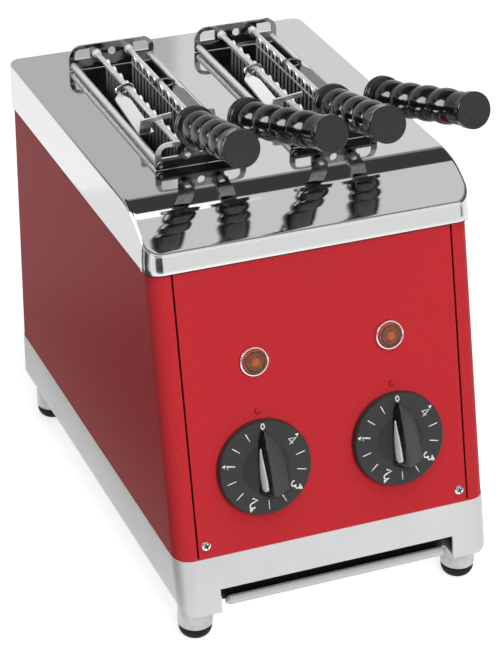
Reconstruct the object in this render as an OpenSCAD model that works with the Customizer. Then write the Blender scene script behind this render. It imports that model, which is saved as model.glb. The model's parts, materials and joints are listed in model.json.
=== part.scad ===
// Two-slot bar toaster with four-handled sandwich tongs.
// Millimetres, +Z up, front faces -Y, origin on the resting plane below the middle of the overall box.

/* [Body] */
// outside width of the painted shell
body_w = 200; // [186:1:230]
// depth of the base, front to back, at its lower edge
body_d = 308; // [294:1:330]
// lean of the front face, back from upright
front_lean = 13.5; // [9:0.5:16]
// height of the painted shell that shows between base and cover
shell_h = 168; // [155:1:185]
// radius of the upright front corners
corner_r = 10; // [7:0.5:13]
// radius of the upright rear corners
rear_r = 6; // [5:0.5:9]
// thickness of the painted sheet
sheet_t = 1.2; // [0.8:0.1:1.6]
// width of the front panel between its two seams
panel_w = 173; // [160:1:180]
// width of each seam beside the front and rear panels
seam_w = 1.2; // [0.6:0.1:2]
// how far the painted shell reaches up behind the cover
tuck_h = 8; // [5:0.5:11]

/* [Base] */
// height of the base band
base_h = 34; // [30:1:40]
// wall and floor thickness of the base
base_t = 1.6; // [1.2:0.1:2.2]
// radius along the lower edges of the base
base_edge_r = 8; // [5:0.5:10]
// how far the base stands proud of the painted shell
base_proud = 0.4; // [0.2:0.1:0.8]
// width of the crumb tray notch in the front
notch_w = 151; // [146:1:154]
// height of the crumb tray notch above the lower edge
notch_h = 14; // [12.5:0.1:16]
// how far the notch cuts back into the floor
notch_in = 12; // [9:0.5:18]
// length of a vent slot in the floor
vent_l = 36; // [20:1:44]
// width of a vent slot
vent_w = 4; // [2:0.5:6]

/* [Feet] */
// diameter of a metal foot
foot_d = 21; // [16:0.5:24]
// height of the metal part of a foot
foot_metal_h = 14.5; // [10:0.5:18]
// height of the rubber end of a foot
foot_pad_h = 8.5; // [5:0.5:10]
// rounding of the rubber end
foot_pad_r = 6.5; // [4:0.25:7]
// foot centre, in from the side of the shell
foot_in_x = 13.5; // [12:0.5:20]
// front foot centre, back from the front lower edge
foot_in_front = 16; // [13:0.5:24]
// rear foot centre, forward from the back
foot_in_rear = 20; // [13:0.5:30]

/* [Cover] */
// height of the side skirts of the cover
skirt_h = 31; // [28:0.5:40]
// height of the upright lip along the front
lip_h = 12.5; // [9:0.5:15]
// slope of the polished front of the cover, down from level
slope_a = 40; // [34:1:48]
// radius of the bend from the flat top to the slope
bend_r = 52; // [30:1:60]
// radius along the edge between slope and lip
lip_r = 1.6; // [1:0.1:2.4]
// radius along the top edges
top_edge_r = 4; // [2.5:0.25:6]
// thickness of the cover sheet
cover_t = 1.2; // [0.8:0.1:1.5]
// clearance between cover and shell
cover_gap = 0.4; // [0.3:0.05:0.6]

/* [Slots] */
// distance between the two slot centres
slot_pitch = 84.8; // [82:0.2:90]
// width of a slot opening
slot_w = 49; // [48:0.5:52]
// length of a slot opening
slot_l = 148; // [140:1:154]
// rear end of the slots, forward from the back
slot_rear = 37; // [32:1:46]
// corner radius of a slot opening
slot_r = 3; // [2:0.25:5]
// width of the bright trim lying round a slot
trim_w = 1.8; // [1:0.1:2]
// thickness of the slot trim
trim_t = 0.7; // [0.5:0.1:1]
// depth of the trim sleeve below the cover
trim_sleeve = 8; // [5:0.5:10]

/* [Chambers] */
// height of the open foot of a toasting chamber above the floor
chamber_z = 50; // [44:1:56]
// thickness of the chamber sheet
chamber_t = 0.8; // [0.6:0.1:1]
// clear width inside a chamber
chamber_w = 53; // [52.6:0.1:54]
// thickness of a heater board
board_t = 0.8; // [0.6:0.1:1]
// heater board centre, out from the slot centre
board_x = 23.6; // [23.2:0.1:24]
// height of a heater board
board_h = 122; // [100:1:126]
// lower edge of a heater board above the chamber foot
board_up = 32; // [28:1:36]
// height of one heating ribbon
ribbon_h = 2.4; // [1.5:0.1:3]
// thickness of one heating ribbon
ribbon_t = 0.4; // [0.3:0.05:0.5]
// number of ribbons on a board
ribbon_n = 11; // [8:1:13]
// diameter of a guard wire
guard_d = 1.6; // [1.2:0.1:1.8]
// guard wire plane, out from the slot centre
guard_x = 20.6; // [20.3:0.1:21]
// number of guard hairpins on each side
guard_n = 8; // [6:1:9]
// how far a chamber reaches past the ends of its slot
chamber_over = 2; // [1:0.25:3]
// how far a ribbon ends inside the ends of its board
ribbon_in = 5; // [3:0.5:10]
// how far the guard hairpins stand above and below a board
guard_over = 5; // [3:0.5:6]
// height of the cross rails that carry the chambers
rail_h = 10; // [8:1:14]
// thickness of the cross rails
rail_t = 8; // [4:1:12]

/* [Tongs] */
// width of a tong end plate
plate_w = 56.6; // [55:0.2:60]
// height of a tong end plate
plate_h = 16.2; // [15.6:0.1:18]
// thickness of a tong end plate
plate_t = 1.5; // [1:0.1:2]
// outer corner radius of an end plate
plate_r = 8; // [6:0.5:9]
// tong end plates, out from the slot ends
plate_out = 4; // [3.5:0.25:6]
// width of the window in each side of an end plate
window_w = 10.5; // [8:0.25:11]
// height of the window
window_h = 6.6; // [5:0.1:7]
// window, in from the plate end
window_side = 3.4; // [3:0.1:4.5]
// window, down from the plate top
window_top = 2.6; // [2:0.1:3.2]
// radius of the upper outer corner of a window
window_r = 3.6; // [2:0.1:4]
// diameter of the hole in the middle of an end plate
eye_d = 5; // [3:0.25:6]
// diameter of a side tube of the tong frame
tube_d = 4.4; // [4:0.1:4.8]
// bore of a side tube
tube_bore = 2.6; // [1.5:0.1:3]
// side tube centre, in from the plate end
tube_in = 2.6; // [2.5:0.1:3]
// how far a side tube stands out past each end plate
tube_out = 1.5; // [0.5:0.25:2.5]
// running clearance of the jaw rods in the plates
rod_gap = 0.3; // [0.25:0.05:0.5]
// clearance between the tong end plates and the cover
rest_gap = 0.3; // [0.2:0.05:0.5]
// clearance between the side tubes and the slot trim
tube_gap = 0.4; // [0.3:0.05:0.6]
// lift of a tong out of its slot
tong_lift = 160; // [130:5:200]

/* [Jaws] */
// diameter of a jaw rod
rod_d = 3.4; // [3:0.1:4.2]
// distance between the two rods of a tong
rod_pitch = 21.2; // [20.6:0.1:23]
// rod centre above the cover
rod_up = 10.3; // [9.8:0.1:10.8]
// how far a rod stands out past each end plate
rod_out = 7; // [5:0.5:9]
// diameter of a grid wire
wire_d = 1.4; // [1.1:0.1:1.8]
// bare rod at each end of a grid, in from the slot end
grid_in = 8; // [6:0.5:12]
// number of hairpins in a grid
hairpin_n = 11; // [8:1:12]
// length of the grid below the rod
grid_h = 128; // [110:1:130]
// top of a hairpin above the rod centre
hair_rise = 1.4; // [0.5:0.1:2]
// diameter of the shoulders that keep a rod between the end plates
shoulder_d = 5.8; // [5:0.1:6.4]
// length of such a shoulder
shoulder_l = 2.5; // [1.5:0.25:3]
// widest swing of a jaw outwards
jaw_open = 4; // [3:0.25:4.25]
// widest swing of a jaw inwards
jaw_close = 3; // [2:0.25:3]

/* [Levers] */
// width of the flat lever plate beside a rod
lever_w = 9.5; // [7:0.25:10]
// length of the flat lever plate, in hairpin steps
lever_steps = 5; // [4:1:5]
// length of the clip and of the arm that hold the plate to the rod
clip_l = 3; // [2:0.25:4]
// thickness of the lever sheet
lever_t = 1.4; // [1:0.1:1.6]
// lever sheet, down from the rod centre
lever_down = 1; // [0.5:0.1:1.2]
// wall of the clip round the rod
clip_wall = 1.5; // [1:0.1:1.6]
// lever plate centre, out from the rod centre
lever_out = 9.4; // [8.8:0.1:10.4]
// gap between the rod and the strip that crosses it
strip_up = 0.8; // [0.5:0.1:1.2]
// height of that strip
strip_h = 5.2; // [4:0.1:6]
// how far the strip reaches past the rod towards the middle
strip_in = 6.5; // [5.5:0.1:7.5]
// length of the neck's ring on the rod
ring_l = 4; // [3:0.25:5]
// wall of that ring
ring_wall = 2; // [1.5:0.1:2.5]
// width of the flat neck between rod and grip
neck_w = 10; // [8:0.25:11]
// thickness of the neck
neck_t = 2; // [1.5:0.1:3]

/* [Grips] */
// grip collar centre, out from the tong centre
grip_x = 15.4; // [15:0.1:17]
// grip collar centre, forward of the front end plate
grip_fwd = 31; // [28:0.5:38]
// grip collar centre above the cover
grip_up = 39; // [34:0.5:44]
// length of a grip, collar to end
grip_l = 102; // [95:1:115]
// rise of a grip towards its end
grip_rise = 16.7; // [12:0.1:20]
// splay of a grip away from the tong centre
grip_splay = 6.2; // [4:0.1:7]
// diameter of the collar
collar_d = 24; // [22:0.25:25]
// thickness of the collar
collar_t = 4; // [3:0.25:5]
// rounding of the collar and cap edges
edge_r = 0.9; // [0.5:0.1:1.2]
// diameter over the bulges of a grip
grip_d = 20.6; // [18:0.2:21.4]
// radius of curve along a bulge
bulge_r = 30; // [26:1:40]
// number of bulges along a grip
bulge_n = 4; // [3:1:5]
// diameter of the end cap
cap_d = 20.8; // [18:0.2:21.4]
// thickness of the end cap
cap_t = 5; // [3:0.25:7]

/* [Front fittings] */
// distance between the two knobs
knob_pitch = 85.6; // [80:0.2:90]
// knob centre above the resting plane
knob_z = 105.5; // [96:0.5:112]
// diameter of a knob
knob_d = 57.6; // [52:0.2:62]
// draft of the knob disc, in on the radius
knob_draft = 0.4; // [0.2:0.1:0.8]
// thickness of the knob disc
knob_t = 5.5; // [4:0.25:7]
// gap behind a knob
knob_gap = 0.7; // [0.4:0.1:1.2]
// height of the pointer ridge above the disc
ridge_h = 11; // [9:0.25:13]
// lean of the left flank of the ridge, in from upright
flank_lean = 24; // [10:1:28]
// fall of the ridge top towards its right side
ridge_fall = 28; // [20:1:32]
// height of the low hub under the ridge
hub_h = 1.4; // [0.8:0.1:2]
// thickness of the silver mark on the ridge
mark_t = 0.5; // [0.3:0.05:0.8]
// diameter of a timer shaft
shaft_d = 6; // [5:0.25:7]
// side of a timer case
timer_s = 44; // [38:1:48]
// depth of a timer case
timer_h = 32; // [26:1:38]
// length of a shaft inside the timer
shaft_in = 10; // [8:0.5:14]
// turn of a knob from off to its last mark
knob_turn = 308; // [280:1:320]
// lamp centre above the resting plane
lamp_z = 167.5; // [158:0.5:176]
// outside diameter of a lamp bezel
bezel_d = 18.4; // [16.6:0.2:20]
// diameter of a lamp lens
lens_d = 14.2; // [12.6:0.2:14.8]
// height of a lamp bezel above the panel
bezel_h = 2.6; // [2:0.2:4]
// rounding of a lamp bezel
bezel_r = 1.2; // [0.8:0.1:1.6]
// rounding of a lamp lens
lens_r = 1.6; // [1:0.1:2]
// height of a lamp lens above the panel
lens_h = 4.2; // [3.4:0.2:6]
// panel screw centre, in from the side of the panel
screw_side = 5; // [4.5:0.25:8]
// panel screw centre above the shell's lower edge
screw_up = 7.5; // [5.5:0.25:9]
// length of a lamp body behind the panel
lamp_body_l = 24; // [18:1:30]
// thickness of the plate behind the front panel
inner_t = 1.5; // [1:0.1:2]
// margin round that plate
inner_in = 4; // [3:0.25:5]
// diameter of a panel screw head
screw_d = 6.6; // [5:0.2:7]

/* [Crumb tray] */
// width of the crumb tray
tray_w = 143; // [132:1:145]
// height of the crumb tray walls
tray_h = 9; // [7:0.25:9.5]
// thickness of the tray sheet
tray_t = 0.8; // [0.6:0.1:1]
// length of the crumb tray
tray_l = 284; // [250:1:288]
// diameter of the rolled front edge
lip_d = 5.6; // [4:0.1:6]
// how far the rolled edge lies behind the front face
lip_in = 0.5; // [0.25:0.25:2]
// height of the rolled edge's middle above the tray floor
lip_up = 2.3; // [2:0.1:4]
// length of the tapered ends of the rolled edge
lip_end = 2; // [1:0.25:4]
// how far the tray wall stands behind the rolled edge
lip_step = 2; // [1:0.25:4]
// clearance between the tray and the base floor
tray_gap = 0.3; // [0.3:0.05:0.6]
// thickness of a tray guide
guide_t = 2; // [1.5:0.1:2.4]
// clearance between the tray and a guide
guide_gap = 0.5; // [0.4:0.05:0.8]
// how far the guides end inside the tray ends
guide_in = 10; // [6:0.5:20]
// travel of the crumb tray
tray_travel = 255; // [200:5:260]

/* [Rear fittings] */
// cable gland centre, in from the side of the rear panel
gland_side = 28.5; // [20:0.5:44]
// cable gland centre above the resting plane
gland_z = 82; // [74:1:92]
// diameter of the cable gland
gland_d = 20; // [16:0.5:22]
// bore of the cable gland
gland_bore = 8; // [6:0.25:10]
// height of the six-sided part of the gland
gland_nut_l = 5; // [4:0.25:7]
// height of the round end of the gland
gland_end_l = 7; // [5:0.25:9]
// length of the gland behind the panel
gland_thread_l = 10; // [8:0.5:14]
// length of a vent slot in the rear panel
rear_vent_l = 58; // [40:1:70]
// size of the terminal block
block_size = [44, 18, 16];
// distance between its terminals
block_pitch = 12; // [10:0.5:13]
// diameter of a terminal bore
block_bore = 5; // [4:0.25:6]
// terminal block, above the shell's lower edge
block_up = 12; // [8:1:20]

/* [Hidden] */
$fn = 48;
eps = 0.01;
big = 400;
over = 1;
seat_gap = 0.2;
sleeve_gap = 0.1;
sleeve_t = 0.6;
weld_in = 0.5;
min_r = 0.4;
mirror_pair = [-1, 1];
gland_x = panel_w / 2 - gland_side;
gland_out = gland_nut_l + gland_end_l;
screw_x = panel_w / 2 - screw_side;
grip_lean = cos(grip_splay) * cos(grip_rise);
grip_reach = grip_l * grip_lean + cap_d / 2 * sqrt(1 - grip_lean * grip_lean);
box_front = slot_rear + slot_l + plate_out + grip_fwd + grip_reach;
z_base = foot_metal_h + foot_pad_h;
z_floor = z_base + base_t;
z_shell = z_base + base_h;
z_skirt = z_shell + shell_h;
z_top = z_skirt + skirt_h;
z_tuck = z_skirt + tuck_h;
rear_y = round((box_front - gland_out) / 2);
front_y = rear_y - body_d;
cover_out = cover_gap + cover_t;
slot_y1 = rear_y - slot_rear;
slot_y0 = slot_y1 - slot_l;
slot_x = slot_pitch / 2;
chamber_z0 = z_floor + chamber_z;
chamber_z1 = z_top - cover_t - seat_gap;
chamber_y0 = slot_y0 - chamber_over;
chamber_y1 = slot_y1 + chamber_over;
chamber_len = chamber_y1 - chamber_y0 - 2 * chamber_t - 2 * seat_gap;
board_z0 = chamber_z0 + board_up;
plate_yr = slot_y1 + plate_out;
plate_yf = slot_y0 - plate_out;
plate_z0 = z_top + rest_gap;
plate_z1 = plate_z0 + plate_h;
tube_x = plate_w / 2 - tube_in;
tube_z = z_top + trim_t + tube_gap + tube_d / 2;
window_z0 = plate_z1 - window_h - window_top;
rod_x = rod_pitch / 2;
rod_z = z_top + rod_up;
wire_in = (rod_d + wire_d) / 2 - weld_in;
lever_z = rod_z - lever_down;
slot_yc = (slot_y0 + slot_y1) / 2;
hair_pitch = (slot_l - 2 * grid_in) / hairpin_n;
lever_y1 = slot_yc + (1 + (hairpin_n % 2) / 2) * hair_pitch;
strip_y = lever_y1 - lever_steps * hair_pitch;
ring_y = plate_yf - plate_t - 2 * seat_gap - ring_l / 2;
grip_y = plate_yf - grip_fwd;
grip_z = z_top + grip_up;
bulge_pitch = (grip_l - collar_t - cap_t) / bulge_n;
tray_z0 = z_floor + tray_gap;
lip_z = tray_z0 + lip_up;
lip_y = face_y(lip_z) + lip_in + lip_d / 2;
tray_y0 = lip_y + lip_d / 2 + lip_step;
ridge_apex = [-0.09, 0.84] * knob_d / 2;
ridge_foot = [-0.29, -0.52] * knob_d / 2;
ridge_heel = [0.44, -0.52] * knob_d / 2;
ridge_hip = [0.38, 0.1] * knob_d / 2;
hip_r = 6;
ridge_tilt_x = -0.1 * knob_d / 2;
hub_d = 0.52 * knob_d;
bar_levels = [0.04, 0.5, 0.99];
guard_bars = [0.12, 0.88];
vent_rows = 2;
rear_vent_rows = 3;
vent_pitch = 4 * vent_w;

// y of the leaning front face at height z
function face_y(z) = front_y + (z - z_base) * tan(front_lean);

// point where a line through p at angle a meets a line through q at angle b
function meet(p, a, q, b) =
  p + [cos(a), sin(a)] * ((q - p) * [sin(b), -cos(b)]) / ([cos(a), sin(a)] * [sin(b), -cos(b)]);

// region cut away when the corner p between q and s is rounded
module corner_cut(p, q, s, r) {
  u = (q - p) / norm(q - p);
  v = (s - p) / norm(s - p);
  half = acos(u * v) / 2;
  mid = (u + v) / norm(u + v);
  difference() {
    polygon([p + u * r / tan(half), p - mid * r, p + v * r / tan(half)]);
    translate(p + mid * r / sin(half)) circle(r = r);
  }
}

// convex outline with its own radius at each corner
module rounded(v, r) {
  n = len(v);
  difference() {
    polygon(v);
    for (i = [0 : n - 1])
      if (r[i] > 0) corner_cut(v[i], v[(i + n - 1) % n], v[(i + 1) % n], r[i]);
  }
}

// rectangle about the origin with all corners rounded
module rounded_rect(w, h, r) {
  rounded([[-w / 2, -h / 2], [w / 2, -h / 2], [w / 2, h / 2], [-w / 2, h / 2]], [r, r, r, r]);
}

// block with a leaning front, grown by o beyond the painted shell
module lean_block(o, z0, z1) {
  hw = body_w / 2 + o;
  intersection() {
    translate([0, front_y, z_base])
      rotate([-front_lean, 0, 0])
        translate([0, 0, -big / 2])
          linear_extrude(2 * big)
            rounded([[-hw, -o], [hw, -o], [hw, 2 * big], [-hw, 2 * big]],
                    [corner_r + o, corner_r + o, 0, 0]);
    translate([0, 0, z0])
      linear_extrude(z1 - z0)
        rounded([[-hw, -big], [hw, -big], [hw, rear_y + o], [-hw, rear_y + o]],
                [0, 0, rear_r + o, rear_r + o]);
  }
}

// children placed on the front panel, x across, y up the panel, z out of it
module on_panel(x, z) {
  translate([x, face_y(z), z]) rotate([90 - front_lean, 0, 0]) children();
}

// children drawn along +Y from y0 to y1 in the upright XZ outline
module along_y(y0, y1) {
  translate([0, y1, 0]) rotate([90, 0, 0]) linear_extrude(y1 - y0) children();
}

// cylinder along Y
module rod_y(x, y0, y1, z, d) {
  translate([x, y1, z]) rotate([90, 0, 0]) cylinder(d = d, h = y1 - y0);
}

// outline of the base seen from the front
module base_front_view() {
  hw = body_w / 2 + base_proud;
  rounded([[-hw, z_base], [hw, z_base], [hw, z_top], [-hw, z_top]],
          [base_edge_r, base_edge_r, 0, 0]);
}

// outline of the base seen from the side
module base_side_view() {
  back = rear_y + base_proud;
  rounded([[-body_d, z_base], [back, z_base], [back, z_top], [-body_d, z_top]],
          [0, base_edge_r, 0, 0]);
}

module base_frame() {
  color("silver")
    difference() {
      intersection() {
        lean_block(base_proud, z_base, z_shell);
        along_y(-body_d, body_d) base_front_view();
        rotate([90, 0, 90])
          translate([0, 0, -body_w])
            linear_extrude(2 * body_w) base_side_view();
      }
      intersection() {
        lean_block(base_proud - base_t, z_floor, z_top);
        along_y(-body_d, body_d)
          translate([0, base_t]) base_front_view();
        rotate([90, 0, 90])
          translate([0, 0, -body_w])
            linear_extrude(2 * body_w)
              translate([-base_t, base_t]) base_side_view();
      }
      translate([-notch_w / 2, -body_d, 0])
        cube([notch_w, body_d + front_y + notch_in, z_base + notch_h]);
      for (s = mirror_pair, i = [-vent_rows : vent_rows])
        translate([s * slot_x, i * vent_pitch, 0])
          linear_extrude(z_top)
            rounded_rect(vent_l, vent_w, vent_w / 2 - eps);
    }
}

// children at the four foot centres
module at_feet() {
  for (s = mirror_pair) {
    translate([s * (body_w / 2 - foot_in_x), front_y + foot_in_front, 0]) children();
    translate([s * (body_w / 2 - foot_in_x), rear_y - foot_in_rear, 0]) children();
  }
}

module feet() {
  color("gray")
    at_feet()
      translate([0, 0, foot_pad_h]) cylinder(d = foot_d, h = foot_metal_h);
}

module foot_pads() {
  pad_r = foot_d / 2 - min_r;
  pad_round = min(foot_pad_r, foot_pad_h - min_r);
  color("black")
    at_feet()
      rotate_extrude()
        rounded([[0, 0], [pad_r, 0], [pad_r, foot_pad_h], [0, foot_pad_h]], [0, pad_round, 0, 0]);
}

// painted wall of the body as one closed ring
module shell_ring() {
  difference() {
    lean_block(0, z_shell, z_tuck);
    lean_block(-sheet_t, z_shell - over, z_tuck + over);
  }
}

module shell_side(s) {
  inner = panel_w / 2 + seam_w;
  color("firebrick")
    intersection() {
      shell_ring();
      translate([s > 0 ? inner : -body_w, -body_d, 0]) cube([body_w - inner, 2 * body_d, big]);
    }
}

module shell_left() { shell_side(-1); }

module shell_right() { shell_side(1); }

// bores for the shafts, lamps and screws through the front
module panel_bores() {
  for (s = mirror_pair) {
    on_panel(s * knob_pitch / 2, knob_z) cylinder(d = shaft_d + 2, h = big / 4, center = true);
    on_panel(s * knob_pitch / 2, lamp_z) cylinder(d = lens_d, h = big / 4, center = true);
    on_panel(s * screw_x, z_shell + screw_up) cylinder(d = screw_d / 2, h = big / 4, center = true);
  }
}

module front_panel() {
  color("crimson")
    difference() {
      intersection() {
        shell_ring();
        translate([-panel_w / 2, -body_d, 0]) cube([panel_w, body_d, big]);
      }
      panel_bores();
    }
}

module rear_panel() {
  color("firebrick")
    difference() {
      intersection() {
        shell_ring();
        translate([-panel_w / 2, 0, 0]) cube([panel_w, body_d, big]);
      }
      translate([gland_x, 0, gland_z])
        rotate([-90, 0, 0]) cylinder(d = gland_thread_d() + 2 * sleeve_gap, h = body_d);
      for (i = [-rear_vent_rows : rear_vent_rows])
        translate([-slot_x, 0, (z_shell + z_skirt) / 2 + i * vent_pitch])
          rotate([-90, 0, 0])
            linear_extrude(body_d)
              rounded_rect(rear_vent_l, vent_w, vent_w / 2 - eps);
    }
}

module inner_plate() {
  color("lightgray")
    difference() {
      intersection() {
        lean_block(-sheet_t, z_shell + over, z_skirt - inner_in);
        translate([0, front_y, z_base])
          rotate([-front_lean, 0, 0])
            translate([0, sheet_t + inner_t / 2, 0])
              cube([panel_w - 2 * inner_in, inner_t, 2 * big], center = true);
      }
      panel_bores();
    }
}

// cross-head screw, head on z = 0 and shank below it
module screw(d, l) {
  head_h = 0.3 * d;
  slot_size = [0.6 * d, 0.14 * d, 0.36 * d];
  difference() {
    union() {
      cylinder(d = d, h = head_h);
      translate([0, 0, -l]) cylinder(d = d / 2, h = l + eps);
    }
    for (a = [0, 90])
      rotate([0, 0, a]) translate([0, 0, head_h]) cube(slot_size, center = true);
  }
}

module panel_screws() {
  color("silver")
    for (s = mirror_pair)
      on_panel(s * screw_x, z_shell + screw_up) screw(screw_d, sheet_t + inner_t + screw_d / 2);
}

// radius of a corner set in by o
function inset_r(r, o) = max(r - o, min_r);

// side outline of the cover, set in by o
module cover_side_view(o) {
  lean = 90 - front_lean;
  out = [-sin(lean), cos(lean)];
  foot = [face_y(z_skirt), z_skirt] + out * (cover_out - o);
  edge = meet([0, z_skirt + lip_h], 0, [face_y(z_skirt), z_skirt] + out * cover_out, lean);
  slope_p = edge + [sin(slope_a), -cos(slope_a)] * o;
  lip = meet(foot, lean, slope_p, slope_a);
  knee = meet([0, z_top - o], 0, slope_p, slope_a);
  toe = meet([0, z_base], 0, foot, lean);
  back = rear_y + cover_out - o;
  rounded([toe, [back, z_base], [back, z_top - o], knee, lip],
          [0, 0, inset_r(top_edge_r, o), bend_r - o, inset_r(lip_r, o)]);
}

// front outline of the cover, set in by o
module cover_front_view(o) {
  hw = body_w / 2 + cover_out - o;
  r = inset_r(top_edge_r, o);
  rounded([[-hw, z_base], [hw, z_base], [hw, z_top - o], [-hw, z_top - o]], [0, 0, r, r]);
}

module cover_block(o, z0) {
  intersection() {
    lean_block(cover_out - o, z0, z_top);
    along_y(-body_d, body_d) cover_front_view(o);
    rotate([90, 0, 90])
      translate([0, 0, -body_w])
        linear_extrude(2 * body_w) cover_side_view(o);
  }
}

// children repeated at both slot centres
module at_slots() {
  for (s = mirror_pair) translate([s * slot_x, 0, 0]) children();
}

// slot opening outline, grown by o
module slot_outline(o) {
  translate([0, slot_yc]) rounded_rect(slot_w + 2 * o, slot_l + 2 * o, slot_r + o);
}

module top_cover() {
  color("gainsboro")
    difference() {
      cover_block(0, z_skirt);
      cover_block(cover_t, z_skirt - over);
      at_slots() translate([0, 0, z_skirt]) linear_extrude(big) slot_outline(0);
    }
}

module slot_trim(s) {
  color("whitesmoke")
    translate([s * slot_x, 0, 0])
      difference() {
        union() {
          translate([0, 0, z_top]) linear_extrude(trim_t) slot_outline(trim_w);
          translate([0, 0, z_top - trim_sleeve])
            linear_extrude(trim_sleeve + eps) slot_outline(-sleeve_gap);
        }
        translate([0, 0, z_skirt]) linear_extrude(big) slot_outline(-sleeve_gap - sleeve_t);
      }
}

module slot_trim_left() { slot_trim(-1); }

module slot_trim_right() { slot_trim(1); }

module chamber(s) {
  len_y = chamber_y1 - chamber_y0;
  color("dimgray")
    translate([s * slot_x, slot_yc, chamber_z0])
      difference() {
        linear_extrude(chamber_z1 - chamber_z0)
          square([chamber_w + 2 * chamber_t, len_y], center = true);
        translate([0, 0, -over])
          linear_extrude(big) square([chamber_w, len_y - 2 * chamber_t], center = true);
      }
}

module chamber_left() { chamber(-1); }

module chamber_right() { chamber(1); }

module heater(s) {
  color("tan")
    for (t = mirror_pair)
      translate([s * slot_x + t * board_x, slot_yc, board_z0 + board_h / 2])
        cube([board_t, chamber_len, board_h], center = true);
}

module heater_left() { heater(-1); }

module heater_right() { heater(1); }

module ribbons(s) {
  step = board_h / (ribbon_n + 1);
  color("sienna")
    for (t = mirror_pair, i = [1 : ribbon_n])
      translate([s * slot_x + t * (board_x - board_t / 2 - ribbon_t / 2), slot_yc, board_z0 + i * step])
        cube([ribbon_t, chamber_len - 2 * ribbon_in, ribbon_h], center = true);
}

module ribbons_left() { ribbons(-1); }

module ribbons_right() { ribbons(1); }

module guard(s) {
  pitch = chamber_len / guard_n;
  leg = board_h + 2 * guard_over;
  color("silver")
    for (t = mirror_pair)
      translate([s * slot_x + t * guard_x, slot_yc, board_z0 - guard_over]) {
        for (k = guard_bars) rod_y(0, -chamber_len / 2, chamber_len / 2, leg * k, guard_d);
        for (i = [0 : guard_n - 1])
          translate([0, (i - (guard_n - 1) / 2) * pitch, 0]) {
            for (e = mirror_pair) translate([0, e * pitch / 4, 0]) cylinder(d = guard_d, h = leg);
            translate([0, 0, leg])
              rotate([90, 0, 90])
                rotate_extrude(angle = 180) translate([pitch / 4, 0]) circle(d = guard_d);
          }
      }
}

module guard_left() { guard(-1); }

module guard_right() { guard(1); }

module cross_rails() {
  color("silver")
    for (y = [chamber_y0 + 2 * rail_t, chamber_y1 - 2 * rail_t])
      translate([-body_w / 2 + sheet_t, y - rail_t / 2, chamber_z0 - rail_h])
        cube([body_w - 2 * sheet_t, rail_t, rail_h]);
}

module timer(s) {
  color("ivory")
    on_panel(s * knob_pitch / 2, knob_z)
      difference() {
        translate([-timer_s / 2, -timer_s / 2, -sheet_t - inner_t - timer_h])
          cube([timer_s, timer_s, timer_h]);
        translate([0, 0, -sheet_t - inner_t - timer_h / 2])
          cylinder(d = shaft_d + 4 * seat_gap, h = timer_h);
      }
}

module timer_left() { timer(-1); }

module timer_right() { timer(1); }

module lamp_bezels() {
  color("silver")
    for (s = mirror_pair)
      on_panel(s * knob_pitch / 2, lamp_z)
        rotate_extrude()
          rounded([[lens_d / 2, 0], [bezel_d / 2, 0], [bezel_d / 2, bezel_h], [lens_d / 2, bezel_h]],
                  [0, 0, bezel_r, 0]);
}

module lamp_lenses() {
  r = lens_d / 2 - sleeve_gap;
  back = -sheet_t - inner_t;
  color("orange")
    for (s = mirror_pair)
      on_panel(s * knob_pitch / 2, lamp_z)
        rotate_extrude()
          rounded([[0, back], [r, back], [r, lens_h], [0, lens_h]], [0, 0, lens_r, 0]);
}

module lamp_bodies() {
  color("ivory")
    for (s = mirror_pair)
      on_panel(s * knob_pitch / 2, lamp_z)
        translate([0, 0, -sheet_t - inner_t - lamp_body_l]) cylinder(d = bezel_d - over, h = lamp_body_l);
}

module tray_guides() {
  color("lightgray")
    for (s = mirror_pair)
      translate([s * (tray_w + guide_t + 2 * guide_gap) / 2 - guide_t / 2, tray_y0 + guide_in, z_floor])
        cube([guide_t, tray_l - 2 * guide_in, tray_h]);
}

// diameter of the gland where it goes through the rear panel
function gland_thread_d() = 0.68 * gland_d;

module cable_gland() {
  color("black")
    translate([gland_x, rear_y, gland_z])
      rotate([-90, 0, 0])
        difference() {
          union() {
            cylinder(d = gland_d, h = gland_nut_l, $fn = 6);
            translate([0, 0, gland_nut_l])
              cylinder(d1 = 0.85 * gland_d, d2 = gland_thread_d(), h = gland_end_l);
            translate([0, 0, -gland_thread_l]) cylinder(d = gland_thread_d(), h = gland_thread_l + eps);
          }
          cylinder(d = gland_bore, h = big, center = true);
        }
}

module terminal_block() {
  color("ivory")
    translate([0, rear_y - sheet_t - block_size.y / 2, z_shell + block_up])
      difference() {
        translate([0, 0, block_size.z / 2]) cube(block_size, center = true);
        for (i = [-1 : 1])
          translate([i * block_pitch, 0, block_size.z / 2]) cylinder(d = block_bore, h = block_size.z);
      }
}

module crumb_tray() {
  color("silver") {
    difference() {
      translate([-tray_w / 2, tray_y0, tray_z0]) cube([tray_w, tray_l, tray_h]);
      translate([-tray_w / 2 + tray_t, tray_y0 + tray_t, tray_z0 + tray_t])
        cube([tray_w - 2 * tray_t, tray_l - 2 * tray_t, tray_h]);
    }
    translate([-tray_w / 2 + lip_end, lip_y, tray_z0])
      cube([tray_w - 2 * lip_end, tray_y0 + tray_t / 2 - lip_y, tray_t]);
    translate([-tray_w / 2, lip_y, lip_z])
      rotate([0, 90, 0])
        rotate_extrude()
          polygon([[0, 0], [lip_d / 4, 0], [lip_d / 2, lip_end], [lip_d / 2, tray_w - lip_end],
            [lip_d / 4, tray_w], [0, tray_w]]);
  }
}

// plan of the knob's pointer ridge, apex at the top, flank on the left
module ridge_plan() {
  rounded([ridge_foot, ridge_heel, ridge_hip, ridge_apex], [0, 0, hip_r, 0]);
}

// children laid on the left flank of the ridge, x down from the apex, z out of it
module on_flank() {
  run = ridge_foot - ridge_apex;
  translate([ridge_apex.x, ridge_apex.y, knob_t])
    rotate([90 - flank_lean, 0, atan2(run.y, run.x)]) children();
}

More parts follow.
